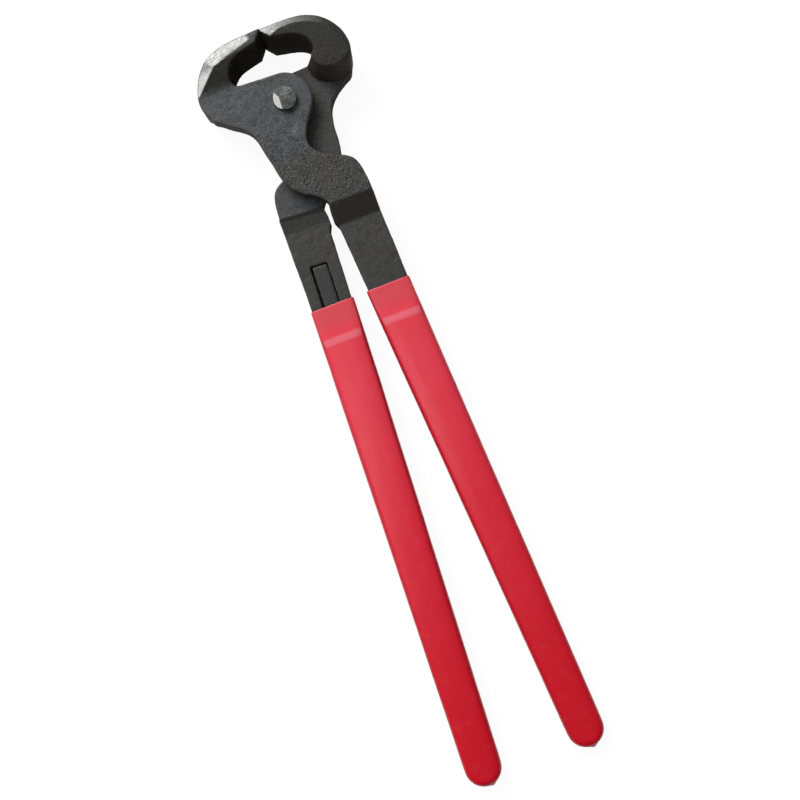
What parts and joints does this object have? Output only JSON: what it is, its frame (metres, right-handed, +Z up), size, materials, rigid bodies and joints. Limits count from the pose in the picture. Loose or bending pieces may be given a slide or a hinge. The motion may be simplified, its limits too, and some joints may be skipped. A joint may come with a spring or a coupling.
{
  "type": "end-cutting nippers",
  "caption": "Hand nippers with facing C-shaped cutting jaws, a riveted lap joint and two long handles with dipped grips.",
  "frame": {"origin": "middle of the underside of the whole tool, closed and lying flat on the sides of its jaws", "axes": "+Y along the tool from the handle ends to the cutting edges, +Z up along the rivet towards its head, +X across the jaws"},
  "size_m": [0.0734, 0.3583, 0.031],
  "materials": {
    "forged_steel": "black forge scale, rim of the jaws ground bright",
    "rivet_steel": "hammered, blackened, one bright facet",
    "bar_steel": "black rolled steel",
    "grip_vinyl": "red dipped vinyl, satin gloss"
  },
  "bodies": {
    "rear_half": {"rear_lever": "forged_steel", "pivot_rivet": "rivet_steel", "rear_handle_bar": "bar_steel", "rear_grip": "grip_vinyl"},
    "front_half": {"front_lever": "forged_steel", "front_handle_bar": "bar_steel", "front_grip": "grip_vinyl"}
  },
  "joints": [
    {"name": "pivot_hinge", "type": "hinge", "parent": "rear_half", "child": "front_half", "pos_m": [0.00053, 0.14685, 0.0155], "axis": [0, 0, 1], "range_deg": [0, 66]}
  ]
}
